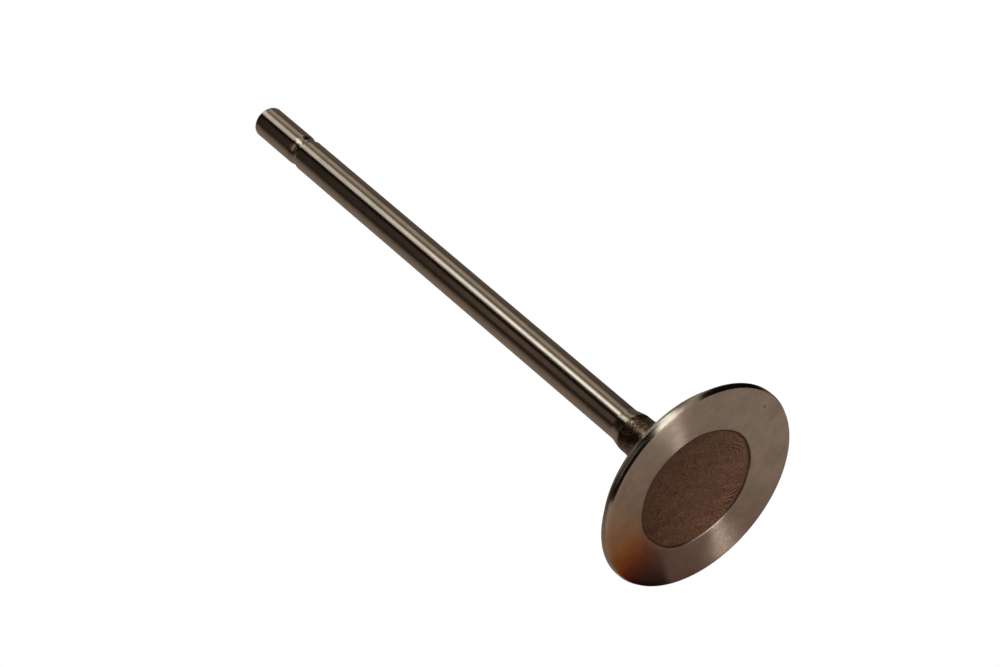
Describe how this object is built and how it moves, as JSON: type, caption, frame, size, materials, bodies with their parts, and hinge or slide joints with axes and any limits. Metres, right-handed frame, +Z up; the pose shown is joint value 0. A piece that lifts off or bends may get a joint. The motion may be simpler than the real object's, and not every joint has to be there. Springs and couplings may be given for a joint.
{
  "type": "engine valve",
  "caption": "Poppet valve of a piston engine: its stem slides in a guide and its round head opens and shuts a port against a seat ring.",
  "frame": {"origin": "centre of the flat ring on the valve's face, which the valve stands on", "axes": "+Z up along the stem, from the face to the tip; +X and +Y are any two directions across the head, with the off-centre forged recess a little towards -X and -Y"},
  "size_m": [0.044, 0.044, 0.147],
  "materials": {
    "valve_steel": "heat-resisting steel: ground stem and seat, turned face ring, neck and recess left as forged"
  },
  "bodies": {
    "root": {"valve": "valve_steel"}
  },
  "joints": []
}
